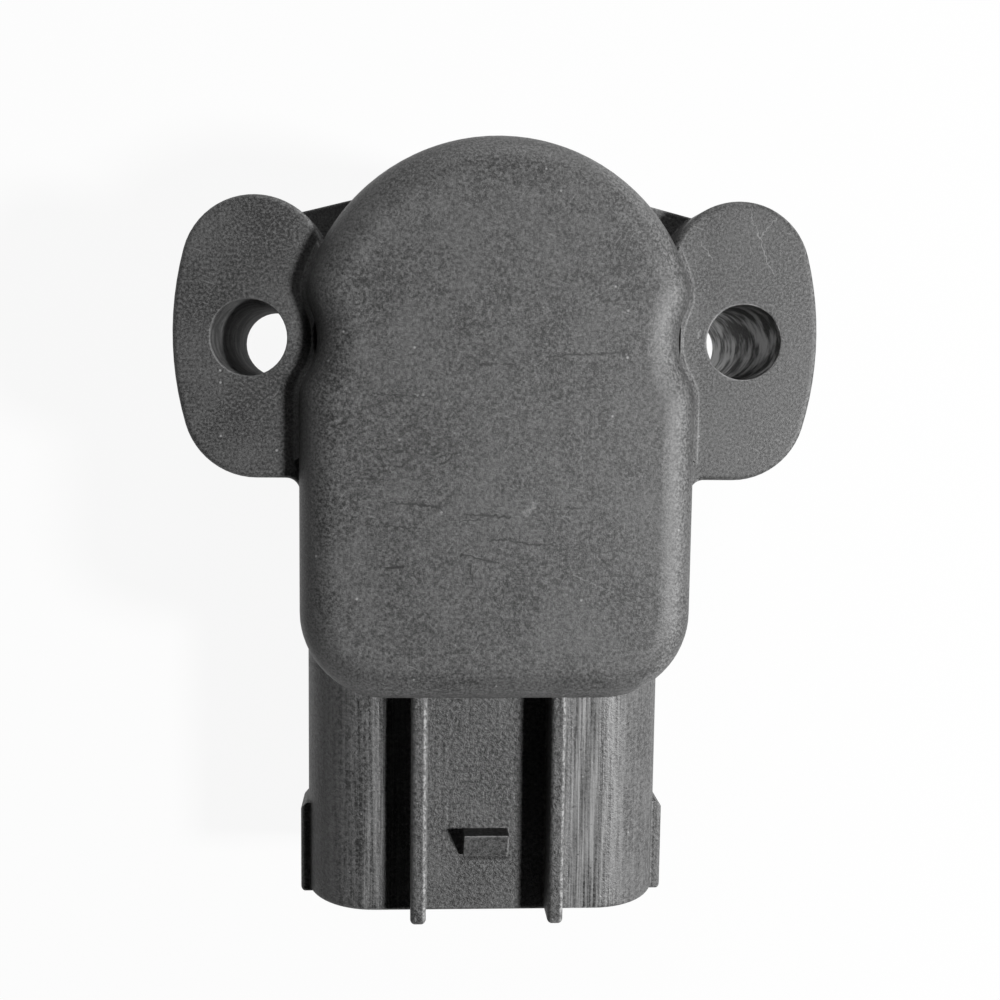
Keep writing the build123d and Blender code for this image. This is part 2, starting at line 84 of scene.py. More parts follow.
# Stretches over which one finish passes into the next, in millimetres: where it starts and where it ends
SHROUD_START = (BODY_FRONT, BODY_FRONT - 0.3)
SHROUD_TOP = (SHROUD_FACE + 0.2, SHROUD_FACE + 0.5)
EAR_ROOT = (14.2, 15.4)
EAR_FOOT = (-13.0, -12.0)
DRAG_START = (6.0, 7.2)
DRAG_FADE = (9.0, 12.0)
HOLE_WALL = (SCREW_HOLE_R + 0.02, SCREW_HOLE_R + 0.08)
SIDE_TO_SIDE = (-1.0, 1.0)

# Marks of use on the housing: start, end and width in millimetres
DOME_CREASES = (
    ((-7.6, -11.6), (-4.3, -11.9), 0.22),
    ((-2.6, -12.4), (0.9, -12.6), 0.20),
    ((-2.9, -12.9), (-1.4, -12.8), 0.14),
    ((-0.6, -14.3), (0.4, -14.2), 0.28),
    ((1.2, -14.4), (2.7, -14.6), 0.22),
    ((2.7, -14.6), (4.0, -14.5), 0.16),
    ((-2.7, -15.3), (0.0, -15.9), 0.20),
    ((-8.3, -13.3), (-5.9, -13.4), 0.14),
    ((4.8, -11.9), (5.7, -12.0), 0.16),
    ((3.7, -1.2), (8.7, -0.9), 0.14),
    ((-2.1, -16.0), (-1.8, -17.4), 0.18),
    ((-4.9, -8.3), (-4.3, -8.0), 0.14),
    ((-4.4, -8.4), (-3.7, -8.1), 0.14),
    ((-4.0, -8.8), (-3.4, -8.3), 0.12),
    ((-3.6, -8.2), (-2.9, -8.0), 0.14),
    ((-8.8, -7.8), (-6.9, -8.0), 0.12),
    ((-7.2, -9.1), (-6.8, -8.9), 0.22),
    ((-9.2, -4.0), (-5.4, -4.1), 0.10),
    ((-11.5, -6.1), (-10.8, -5.9), 0.20),
    ((-3.1, -2.3), (-2.7, -1.9), 0.14),
    ((-1.5, -1.8), (-0.7, -1.8), 0.26),
    ((0.1, -1.8), (1.0, -1.8), 0.20),
    ((6.0, -3.2), (6.4, -3.8), 0.12),
    ((6.2, -7.9), (6.5, -7.4), 0.12),
    ((8.9, -18.2), (10.9, -18.4), 0.12),
)
DOME_CUTS = (
    ((-8.0, -16.3), (-6.8, -16.2), 0.26),
    ((-11.1, -11.7), (-11.0, -11.8), 0.22),
)
DOME_SCUFFS = (
    ((1.8, -12.4), (2.4, -11.8), 0.6),
    ((-6.2, -4.0), (-5.9, -4.0), 0.2),
    ((-5.6, -4.0), (-5.4, -4.0), 0.2),
    ((5.4, -16.8), (8.3, -18.0), 0.14),
)
# Painted shadow: a dark line along the toe of the lock nub, where its shadow falls on the shroud
NUB_TOE_SHADOW = (((-1.8, -41.85), (1.8, -41.85), 0.55),)
EAR_SCRATCHES = (
    ((18.3, 10.0), (18.4, 8.8), 0.10),
    ((18.4, 8.8), (20.1, 4.7), 0.10),
    ((18.9, 7.5), (20.1, 9.0), 0.08),
    ((14.6, 7.2), (15.5, 5.9), 0.10),
    ((14.7, 0.8), (14.7, 0.3), 0.16),
)


def linear(code):
    """Linear colour with full alpha from an sRGB hex code."""
    channels = [int(code[i:i + 2], 16) / 255 for i in (1, 3, 5)]
    return (*[c / 12.92 if c <= 0.04045 else ((c + 0.055) / 1.055) ** 2.4 for c in channels], 1.0)


def colour_property(name, description, code):
    """A colour that a user can change, with its default as an sRGB hex code."""
    return FloatVectorProperty(
        name=name, description=description, subtype="COLOR", size=4, min=0.0, max=1.0, default=linear(code)
    )


def length_property(name, description, millimetres):
    """A length that a user can change, with its default in millimetres."""
    return FloatProperty(
        name=name, description=description, unit="LENGTH", subtype="DISTANCE", min=0.0, precision=5,
        default=millimetres * MM,
    )


def place_property(name, description, place):
    """A place that a user can change, with its default in metres of the frame."""
    return FloatVectorProperty(
        name=name, description=description, subtype="TRANSLATION", unit="LENGTH", precision=5, default=place
    )


class HousingFinish(bpy.types.PropertyGroup):
    """Colours and surface sizes of the moulded housing and cover."""

    plastic: colour_property("Plastic", "Glass-filled plastic of the housing", "#464646")
    # The pale colour serves wear and also painted highlights on the +X rounds and drag lines and a painted
    # reflection in the +X screw hole
    wear_and_highlight: colour_property("Worn plastic", "Rubbed plastic along edges, drag lines and scratches", "#9c9c9c")
    # The dark colour serves creases and cuts and also painted shade in the screw holes and a painted shadow
    # along the nub's toe
    crease_and_shade: colour_property("Crease", "Dark creases, cuts and grime", "#161616")
    cover: colour_property("Cover", "Plastic of the base cover", "#343434")
    grain: length_property("Grain", "Grain left by the spark-eroded mould", 0.2)
    relief: length_property("Relief", "Height of the grain", 0.06)
    clouds: length_property("Clouds", "Soft clouds in the plastic's tone", 5.0)
    flecks: length_property("Flecks", "Size of the pattern of dark flecks", 0.5)
    specks: length_property("Specks", "Distance between pale specks of glass", 1.0)
    streak_width: length_property("Streak width", "Width of drag lines along the plug shroud", 0.28)
    streak_length: length_property("Streak length", "Length of drag lines along the plug shroud", 11.0)
    edge_round: length_property("Edge round", "Small round on moulded corners, rubbed pale in places", 0.25)


class InnerFinish(bpy.types.PropertyGroup):
    """Colours of the pieces inside and under the housing."""

    rubber: colour_property("Seal rubber", "Nitrile rubber of the mounting seal", "#1d1d1f")
    acetal: colour_property("Rotor plastic", "Natural acetal of the rotor", "#cfc8b6")
    steel: colour_property("Spring steel", "Drawn spring wire", "#8d9094")
    wiper: colour_property("Wiper alloy", "Spring alloy of the wiper", "#c9b184")
    ceramic: colour_property("Ceramic", "Alumina of the resistor board", "#e4e0d6")
    carbon: colour_property("Resistor ink", "Carbon ink of the tracks", "#1f1f21")
    silver: colour_property("Lead ink", "Silver ink of the leads", "#b9b7b1")
    tin: colour_property("Tin plate", "Tin plate on the terminals", "#c4c5c6")
    solder: colour_property("Solder", "Solder at the board", "#a3a5a8")


class SpringSizes(bpy.types.PropertyGroup):
    """Sizes of the return spring, which follow the solid it stands for."""

    wire: length_property("Wire", "Diameter of the wire", 0.7)
    coil: length_property("Coil radius", "Axis to the middle of the wire", 9.4)
    bottom: length_property("Coil bottom", "Height of the lowest turn", 3.35)
    top: length_property("Coil top", "Height of the highest turn", 12.45)
    bend: length_property("Leg bend", "Radius where the wire turns into a leg", 0.8)
    turns: FloatProperty(name="Turns", description="Turns between the two legs", default=4.5, min=1.0)
    start: FloatProperty(
        name="Start", description="Direction of the lower end of the coil", subtype="ANGLE",
        default=math.radians(200),
    )


class StageSetup(bpy.types.PropertyGroup):
    """Camera, lamps and floor."""

    camera_place: place_property("Camera place", "Where the camera stands", (-0.00659, -0.00287, 0.10286))
    camera_tilt: FloatVectorProperty(
        name="Camera tilt", description="Turn of the camera from looking straight down", subtype="EULER",
        default=(math.radians(-5.33), math.radians(-2.27), math.radians(0.52)),
    )
    lens: FloatProperty(name="Lens", description="Focal length", unit="CAMERA", default=41.4, min=1.0)
    lens_shift: FloatVectorProperty(
        name="Lens shift", description="How far the picture was cropped off the lens axis", size=2,
        default=(0.047, -0.014),
    )
    aim: place_property("Lamp aim", "Point on the sensor that the lamps face", (0.0, -0.010, 0.015))
    key_place: place_property("Key place", "Where the key lamp stands", (0.271, -0.044, 0.308))
    key_size: length_property("Key size", "Diameter of the key lamp", 62.0)
    key_power: FloatProperty(name="Key power", description="Power of the key lamp", unit="POWER", default=2.5)
    back_place: place_property("Back place", "Where the lamp behind the dome stands", (0.030, 0.250, 0.110))
    back_size: length_property("Back size", "Width of the lamp behind the dome", 60.0)
    back_power: FloatProperty(
        name="Back power", description="Power of the lamp behind the dome", unit="POWER", default=0.24
    )
    fill: FloatProperty(
        name="Fill", description="Strength of the even light all round", default=0.008, min=0.0
    )
    floor: colour_property("Floor", "Paper that the sensor lies on", "#b4b4b4")
    floor_reach: length_property("Floor reach", "Radius of the flat floor", 1200.0)
    wall_height: length_property("Wall height", "Height to which the paper curves up", 350.0)


class SensorSettings(bpy.types.PropertyGroup):
    """All settings of the sensor."""

    housing: PointerProperty(type=HousingFinish)
    inner: PointerProperty(type=InnerFinish)
    spring: PointerProperty(type=SpringSizes)
    stage: PointerProperty(type=StageSetup)


def add_node(tree, kind, inputs=(), out=0, **settings):
    """Add one node with its settings, link or set its inputs, and return one of its outputs.

    Inputs come by name or number, or as a list in the node's own order.
    """
    node = tree.nodes.new(kind)
    for name, value in settings.items():
        setattr(node, name, value)
    for key, value in inputs.items() if isinstance(inputs, dict) else enumerate(inputs):
        if isinstance(value, bpy.types.NodeSocket):
            tree.links.new(value, node.inputs[key])
        else:
            node.inputs[key].default_value = value
    return node.outputs[out]


def combine(tree, operation, values):
    """One operation over several values in turn, such as the highest of many masks."""
    result = values[0]
    for value in values[1:]:
        result = add_node(tree, MATH, [result, value], operation=operation)
    return result


def add_up(tree, start, parts):
    """Start value plus each pattern times its amount."""
    total = start
    for pattern, amount in parts:
        total = add_node(tree, MATH, [pattern, amount, total], operation="MULTIPLY_ADD")
    return total


def start_material(name):
    """New material, its node tree and its shader."""
    material = bpy.data.materials.new(name)
    material.use_nodes = True
    return material, material.node_tree, material.node_tree.nodes["Principled BSDF"]


def place_in_millimetres(tree):
    """Position on the piece, in millimetres of the frame."""
    place = add_node(tree, "ShaderNodeTexCoord", out="Object")
    return add_node(tree, VECTOR, {0: place, "Scale": 1 / MM}, operation="SCALE")


def line_marks(tree, place, marks, height):
    """Mask of straight marks on a level face, full along the middle of each mark and gone at its sides."""
    masks = []
    for start, end, width in marks:
        run = Vector((*end, height)) - Vector((*start, height))
        ahead = add_node(tree, VECTOR, [place, (*start, height)], operation="SUBTRACT")
        share = add_node(tree, VECTOR, [ahead, run / run.length_squared], "Value", operation="DOT_PRODUCT")
        share = add_node(tree, "ShaderNodeClamp", [share])
        nearest = add_node(tree, VECTOR, {0: run, "Scale": share}, operation="SCALE")
        gap = add_node(tree, VECTOR, [ahead, nearest], "Value", operation="DISTANCE")
        masks.append(add_node(tree, RAMP, [gap, width / 5, width / 2, 1.0, 0.0]))
    return combine(tree, "MAXIMUM", masks)


def shaken(tree, place, size, amount):
    """Position moved about level by a noise of the given size, so that straight marks come out uneven."""
    noise = add_node(tree, NOISE, {"Vector": place, "Scale": 1 / size, "Detail": 1.0}, "Color")
    moved = add_node(tree, VECTOR, [noise, (amount, amount, 0.0), place], operation="MULTIPLY_ADD")
    return add_node(tree, VECTOR, [moved, (amount / 2, amount / 2, 0.0)], operation="SUBTRACT")


def dark_flecks(tree, place, settings):
    """Small uneven flecks where glass fibre broke the skin."""
    inputs = {"Vector": place, "Scale": MM / settings.flecks, "Detail": 3.0, "Roughness": 0.8}
    return add_node(tree, RAMP, [add_node(tree, NOISE, inputs), 0.39, 0.31, 0.0, 0.7])


def glass_specks(tree, place, settings):
    """Few small pale specks, one in some ten cells of a random pattern."""
    inputs = {"Vector": place, "Scale": MM / settings.specks}
    distance = add_node(tree, "ShaderNodeTexVoronoi", inputs, "Distance")
    draw = add_node(tree, SPLIT, [distance.node.outputs["Color"]])
    near = add_node(tree, RAMP, [distance, 0.06, 0.12, 1.0, 0.0])
    chosen = add_node(tree, RAMP, [draw, 0.86, 0.9])
    return combine(tree, "MULTIPLY", [near, chosen])


def fine_scratches(tree, place):
    """Short fine scratches in two directions."""
    # A tenth of a millimetre wide, about twice the true width, so that they show
    waves_a_millimetre = (0.6, 9.0, 9.0)
    masks = []
    for degrees, shift in ((20.0, 0.0), (-55.0, 40.0)):
        turn = (0.0, 0.0, math.radians(degrees))
        inputs = {"Vector": place, "Location": (shift, shift, shift), "Rotation": turn}
        turned = add_node(tree, "ShaderNodeMapping", inputs)
        stretched = add_node(tree, VECTOR, [turned, waves_a_millimetre], operation="MULTIPLY")
        noise = add_node(tree, NOISE, {"Vector": stretched, "Scale": 1.0, "Detail": 1.0})
        masks.append(add_node(tree, RAMP, [noise, 0.68, 0.8]))
    return combine(tree, "MAXIMUM", masks)


def drag_lines_and_highlight(tree, place, axes, from_middle, on_shroud, settings):
    """Lines that the mould drew along the shroud: their pattern, and how strong they are at each place. Their
    pale colour is partly the lines' own wear and partly a painted highlight.
    """
    across = MM / settings.streak_width
    along = MM / settings.streak_length
    stretched = add_node(tree, VECTOR, [place, (across, along, across)], operation="MULTIPLY")
    inputs = {"Vector": stretched, "Scale": 1.0, "Detail": 3.0, "Roughness": 0.7}
    lines = add_node(tree, NOISE, inputs)
    outside_ribs = add_node(tree, RAMP, [from_middle, *DRAG_START])
    fading = add_node(tree, RAMP, [from_middle, *DRAG_FADE, 1.0, 0.2])
    # The +X side, which faces the key lamp, is painted paler than the other: painted highlight
    side = add_node(tree, RAMP, [axes["X"], *SIDE_TO_SIDE, 0.6, 1.0])
    return lines, combine(tree, "MULTIPLY", [on_shroud, outside_ribs, fading, side])


def screw_holes(tree, place, axes, from_middle):
    """Painted shade on the walls of the screw holes, and bright streaks on them that are partly scuffs rubbed
    in by screw threads and partly a painted reflection.
    """
    across = add_node(tree, MATH, [from_middle, SCREW_X], operation="SUBTRACT")
    from_axis = add_node(tree, "ShaderNodeCombineXYZ", [across, axes["Y"]])
    from_axis = add_node(tree, VECTOR, [from_axis], "Value", operation="LENGTH")
    on_wall = add_node(tree, RAMP, [from_axis, *HOLE_WALL, 1.0, 0.0])
    waves_a_millimetre = (0.4, 0.4, 0.8)
    flattened = add_node(tree, VECTOR, [place, waves_a_millimetre], operation="MULTIPLY")
    inputs = {"Vector": flattened, "Scale": 1.0, "Detail": 3.0, "Roughness": 0.6}
    rings = add_node(tree, RAMP, [add_node(tree, NOISE, inputs), 0.45, 0.62])
    # The hole on the -X side gets more painted shade, and the hole on the +X side gets the bright streaks
    # with their painted reflection
    shade_by_side = add_node(tree, RAMP, [axes["X"], *SIDE_TO_SIDE, 0.7, 0.25])
    rubbed = add_node(tree, RAMP, [axes["X"], *SIDE_TO_SIDE, 0.15, 1.0])
    hole_shade = combine(tree, "MULTIPLY", [on_wall, shade_by_side])
    return hole_shade, combine(tree, "MULTIPLY", [on_wall, rings, rubbed])


def worn_edges(tree, rounded, clouds, grain, on_shroud):
    """Outer edges, where the rounded surface leaves the flat one, rubbed in patches and along the shroud."""
    surface = add_node(tree, "ShaderNodeNewGeometry", out="Normal")
    agreement = add_node(tree, VECTOR, [rounded, surface], "Value", operation="DOT_PRODUCT")
    edges = add_node(tree, RAMP, [agreement, 0.995, 0.9])
    patches = add_node(tree, RAMP, [clouds, 0.42, 0.6, 0.3, 0.7])
    rubbed = combine(tree, "MAXIMUM", [patches, combine(tree, "MULTIPLY", [on_shroud, 0.7])])
    uneven = add_node(tree, RAMP, [grain, 0.4, 0.55, 0.6, 1.0])
    return combine(tree, "MULTIPLY", [edges, rubbed, uneven])


def wear_and_highlit_side(tree, axes, grain, on_shroud):
    """Pale speckle on the rounds that face +X, towards the key lamp: a faint band on the dome, a clear line
    on the rib crests. It is partly wear and partly a painted highlight.
    """
    facing = add_node(tree, "ShaderNodeTexCoord", out="Normal")
    facing = add_node(tree, SPLIT, [facing])
    leaning = add_node(tree, RAMP, [facing, 0.3, 0.42])
    dome = add_node(tree, RAMP, [facing, 0.75, 0.62, 0.0, 0.25])
    crests = combine(tree, "MULTIPLY", [add_node(tree, RAMP, [facing, 0.98, 0.88]), on_shroud])
    band = combine(tree, "MAXIMUM", [dome, crests])
    above = add_node(tree, RAMP, [axes["Z"], *SHROUD_TOP])
    speckle = add_node(tree, RAMP, [grain, 0.45, 0.6, 0.2, 1.0])
    return combine(tree, "MULTIPLY", [leaning, band, above, speckle])


def dark_marks_and_toe_shadow(tree, place, uneven, grain, settings):
    """Creases and cuts in the dome, a painted shadow along the nub's toe, and dark flecks."""
    creases = line_marks(tree, uneven, DOME_CREASES, DOME_FACE)
    creases = combine(tree, "MULTIPLY", [creases, add_node(tree, RAMP, [grain, 0.38, 0.55, 0.4, 1.0])])
    cuts = line_marks(tree, place, DOME_CUTS, DOME_FACE)
    toe_shadow = line_marks(tree, place, NUB_TOE_SHADOW, SHROUD_FACE)
    return combine(tree, "MAXIMUM", [creases, cuts, toe_shadow, dark_flecks(tree, place, settings)])


def pale_marks(tree, place, uneven, grain, settings):
    """Scratches on the ears, scuffs on the dome, fine scratches and glass specks, each with its strength."""
    marks = (
        (line_marks(tree, uneven, EAR_SCRATCHES, EAR_FACE), 0.35),
        (line_marks(tree, uneven, DOME_SCUFFS, DOME_FACE), add_node(tree, RAMP, [grain, 0.4, 0.6, 0.1, 0.3])),
        (fine_scratches(tree, place), 0.25),
        (glass_specks(tree, place, settings), 0.7),
    )
    return combine(tree, "MAXIMUM", [combine(tree, "MULTIPLY", mark) for mark in marks])


def plastic_tone(tree, axes, from_middle, grain, clouds, streaks):
    """Lightness of the bare plastic: grain, soft clouds, streaks on the shroud, and painted shade on the
    ears.
    """
    # The grain is stronger in some patches than in others
    centred = add_up(tree, -0.5, [(grain, 1.0)])
    patchy = combine(tree, "MULTIPLY", [centred, add_node(tree, RAMP, [clouds, 0.38, 0.62, 7.5, 5.0])])
    # The ears are painted darker than the dome: painted shade
    beside_body = add_node(tree, RAMP, [from_middle, *EAR_ROOT])
    ears_painted_shade = combine(tree, "MULTIPLY", [beside_body, add_node(tree, RAMP, [axes["Y"], *EAR_FOOT])])
    tone = add_up(tree, 0.4, [(patchy, 1.0), (clouds, 1.2), (ears_painted_shade, -0.25), (streaks, 1.2)])
    darkest = 0.2
    return combine(tree, "MAXIMUM", [tone, darkest])


def glass_filled_plastic(settings):
    """Glass-filled polyester moulded in a spark-eroded mould.

    The eye sees a dry sandy grain with dark flecks and paler specks of glass, soft clouds of tone, drag lines
    along the plug shroud where the moulding left the mould, rubbed edges, and the creases and scratches of a
    used part. Light and shade are painted in too: a painted highlight on the rounds and drag lines that face
    +X, painted shade on the ears and in the screw holes, a painted reflection in the +X screw hole, and a
    painted shadow along the nub's toe.
    """
    material, tree, shader = start_material("glass_filled_polyester_spark_eroded")
    place = place_in_millimetres(tree)
    axes = add_node(tree, SPLIT, [place]).node.outputs
    from_middle = add_node(tree, MATH, [axes["X"]], operation="ABSOLUTE")
    on_shroud = add_node(tree, RAMP, [axes["Y"], *SHROUD_START])
    # The grain of the shroud is half as coarse again as that of the dome
    coarser = add_node(tree, RAMP, [on_shroud, 0.0, 1.0, 1.0, 0.65])
    grain_place = add_node(tree, VECTOR, {0: place, "Scale": coarser}, operation="SCALE")
    inputs = {"Vector": grain_place, "Scale": MM / settings.grain, "Detail": 3.0, "Roughness": 0.8}
    grain = add_node(tree, NOISE, inputs)
    inputs = {"Vector": place, "Scale": MM / settings.clouds, "Detail": 3.0, "Roughness": 0.6}
    clouds = add_node(tree, NOISE, inputs)
    rounded = add_node(tree, "ShaderNodeBevel", {"Radius": settings.edge_round}, samples=4)
    lines, drag_and_highlight = drag_lines_and_highlight(tree, place, axes, from_middle, on_shroud, settings)
    hole_shade, hole_scuffs_and_sheen = screw_holes(tree, place, axes, from_middle)

    uneven = shaken(tree, place, size=0.35, amount=0.5)
    # Dark marks, with the painted shadow along the nub's toe and the painted shade in the screw holes
    dark = combine(tree, "MAXIMUM", [dark_marks_and_toe_shadow(tree, place, uneven, grain, settings), hole_shade])
    wear_and_highlight = combine(tree, "MAXIMUM", [
        worn_edges(tree, rounded, clouds, grain, on_shroud),
        wear_and_highlit_side(tree, axes, grain, on_shroud),
        # Pale drag lines: partly the lines' own wear, partly a painted highlight
        combine(tree, "MULTIPLY", [drag_and_highlight, add_node(tree, RAMP, [lines, 0.4, 0.7, 0.0, 0.85])]),
        pale_marks(tree, place, uneven, grain, settings),
    ])
    streaks = combine(tree, "MULTIPLY", [add_up(tree, -0.5, [(lines, 1.0)]), on_shroud])
    tone = plastic_tone(tree, axes, from_middle, grain, clouds, streaks)
    colour = add_node(tree, VECTOR, {0: settings.plastic[:3], "Scale": tone}, operation="SCALE")
    # Pale colour over wear and painted highlights, dark colour over marks and painted shade, and pale again
    # over the scuffs and painted reflection in the +X screw hole
    for mask, over in ((wear_and_highlight, settings.wear_and_highlight), (dark, settings.crease_and_shade), (hole_scuffs_and_sheen, settings.wear_and_highlight)):
        inputs = {0: mask, MIX_UNDER: colour, MIX_OVER: over}
        colour = add_node(tree, MIX, inputs, MIX_RESULT, data_type="RGBA")
    tree.links.new(colour, shader.inputs["Base Color"])
    roughness = add_up(tree, 0.47, [(clouds, 0.16), (drag_and_highlight, -0.14), (hole_shade, 0.4), (hole_scuffs_and_sheen, -0.3)])
    tree.links.new(roughness, shader.inputs["Roughness"])
    shader.inputs["IOR"].default_value = 1.57

    # The drag lines have wiped out the coarse sand beside the ribs
    undragged = add_node(tree, MATH, [on_shroud, drag_and_highlight], operation="SUBTRACT")
    sand = combine(tree, "MULTIPLY", [grain, undragged])
    ridges = combine(tree, "MULTIPLY", [lines, drag_and_highlight])
    height = add_up(tree, 0.0, [(grain, 1.0), (sand, 5.0), (ridges, 1.5)])
    inputs = {"Height": height, "Strength": 0.5, "Distance": settings.relief, "Normal": rounded}
    tree.links.new(add_node(tree, "ShaderNodeBump", inputs), shader.inputs["Normal"])
    return material


def grained_solid(name, colour, roughness, grain, contrast, relief, ior=None):
    """One even solid with a grain of its own, and a metal where no index of refraction is given.

    Tone and gloss vary a little with the grain, and the grain stands slightly proud. Grain and relief are in
    millimetres.
    """
    material, tree, shader = start_material(name)
    inputs = {"Vector": place_in_millimetres(tree), "Scale": 1 / grain, "Detail": 3.0, "Roughness": 0.6}
    pattern = add_node(tree, NOISE, inputs)
    tone = add_up(tree, 1 - contrast / 2, [(pattern, contrast)])
    toned = add_node(tree, VECTOR, {0: colour[:3], "Scale": tone}, operation="SCALE")
    bump = add_node(tree, "ShaderNodeBump", {"Height": pattern, "Strength": 0.4, "Distance": relief * MM})
    tree.links.new(toned, shader.inputs["Base Color"])
    tree.links.new(add_up(tree, roughness - 0.1, [(pattern, 0.2)]), shader.inputs["Roughness"])
    tree.links.new(bump, shader.inputs["Normal"])
    if ior is None:
        shader.inputs["Metallic"].default_value = 1.0
    else:
        shader.inputs["IOR"].default_value = ior
    return material


def dress(node, material):
    """Give a node of the frame its material."""
    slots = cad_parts[node].data.materials
    slots.clear()
    slots.append(material)


class SENSOR_OT_housing(bpy.types.Operator):
    """Finish the moulded housing"""

    bl_idname = "sensor.housing"
    bl_label = "Housing"

    def execute(self, context):
        dress("housing", glass_filled_plastic(context.scene.sensor.housing))
        return {"FINISHED"}


class SENSOR_OT_base_cover(bpy.types.Operator):
    """Finish the base cover with its register spigot"""

    bl_idname = "sensor.base_cover"
    bl_label = "Base cover"

    def execute(self, context):
        # Glass-filled polyester from a plain ground mould: darker and smoother than the housing
        dress("base_cover", grained_solid(
            "glass_filled_polyester_moulded", context.scene.sensor.housing.cover,
            roughness=0.45, grain=0.3, contrast=0.5, relief=0.02, ior=1.57,
        ))
        return {"FINISHED"}


class SENSOR_OT_mounting_seal(bpy.types.Operator):
    """Finish the rubber ring on the spigot"""

    bl_idname = "sensor.mounting_seal"
    bl_label = "Mounting seal"

    def execute(self, context):
        # Nitrile rubber, pressed in a polished mould: black with a soft sheen
        dress("mounting_seal", grained_solid(
            "nitrile_rubber_pressed", context.scene.sensor.inner.rubber,
            roughness=0.38, grain=0.5, contrast=0.3, relief=0.01, ior=1.52,
        ))
        return {"FINISHED"}


class SENSOR_OT_rotor(bpy.types.Operator):
    """Finish the rotor"""

    bl_idname = "sensor.rotor"
    bl_label = "Rotor"

    def execute(self, context):
        # Natural acetal, moulded smooth: waxy off-white
        dress("rotor", grained_solid(
            "natural_acetal_moulded", context.scene.sensor.inner.acetal,
            roughness=0.42, grain=1.5, contrast=0.15, relief=0.01, ior=1.48,
        ))
        return {"FINISHED"}


class SENSOR_OT_return_spring(bpy.types.Operator):
    """Wind the return spring in round wire"""

    bl_idname = "sensor.return_spring"
    bl_label = "Return spring"

    def execute(self, context):
        sizes = context.scene.sensor.spring
        low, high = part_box("return_spring")
        mesh = self.draw_wire(context, self.plan_route(sizes, low.z, high.z), sizes.wire)
        spring = bpy.data.objects.new("return_spring_wire", mesh)
        context.collection.objects.link(spring)
        # Drawn spring wire: grey metal with a fine grain
        mesh.materials.clear()
        mesh.materials.append(grained_solid(
            "spring_steel_drawn", context.scene.sensor.inner.steel,
            roughness=0.32, grain=0.2, contrast=0.2, relief=0.005,
        ))
        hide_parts("return_spring")
        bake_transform(spring)
        return {"FINISHED"}

    def plan_route(self, sizes, low_z, high_z):
        """Middle line of the wire: the coil, and at each end a bend into an upright leg."""
        points_a_turn = 40
        bend_steps = 6
        count = round(points_a_turn * sizes.turns)
        route = []
        for number in range(count + 1):
            share = number / count
            angle = sizes.start + 2 * math.pi * sizes.turns * share
            height = sizes.bottom + (sizes.top - sizes.bottom) * share
            route.append(Vector((sizes.coil * math.cos(angle), sizes.coil * math.sin(angle), height)))
        for end, leg_z, sign in ((0, low_z, -1), (-1, high_z, 1)):
            angle = math.atan2(route[end].y, route[end].x)
            ahead = Vector((-math.sin(angle), math.cos(angle), 0)) * sign
            bend = []
            for step in range(1, bend_steps + 1):
                turn = math.radians(90 * step / bend_steps)
                rise = Vector((0, 0, sign * sizes.bend * (1 - math.cos(turn))))
                bend.append(route[end] + ahead * sizes.bend * math.sin(turn) + rise)
            bend.append(Vector((bend[-1].x, bend[-1].y, leg_z)))
            route = bend[::-1] + route if sign < 0 else route + bend
        return route

    def draw_wire(self, context, route, diameter):
        """Smooth mesh of a round wire along a route, closed at both ends."""
        curve = bpy.data.curves.new("return_spring_route", "CURVE")
        curve.dimensions = "3D"
        curve.bevel_depth = diameter / 2
        curve.bevel_resolution = 4
        curve.use_fill_caps = True
        spline = curve.splines.new("POLY")
        spline.points.add(len(route) - 1)
        for point, place in zip(spline.points, route):
            point.co = (*place, 1.0)
        wire = bpy.data.objects.new("return_spring_route", curve)
        context.collection.objects.link(wire)
        context.view_layer.update()
        mesh = bpy.data.meshes.new_from_object(wire.evaluated_get(context.evaluated_depsgraph_get()))
        bpy.data.objects.remove(wire)
        mesh.shade_smooth()
        return mesh


class SENSOR_OT_wiper(bpy.types.Operator):
    """Finish the stamped wiper"""

    bl_idname = "sensor.wiper"
    bl_label = "Wiper"

    def execute(self, context):
        # Rolled contact alloy, stamped and bent: pale gold with a fine grain
        dress("wiper", grained_solid(
            "contact_alloy_rolled", context.scene.sensor.inner.wiper,
            roughness=0.28, grain=0.12, contrast=0.15, relief=0.003,
        ))
        return {"FINISHED"}


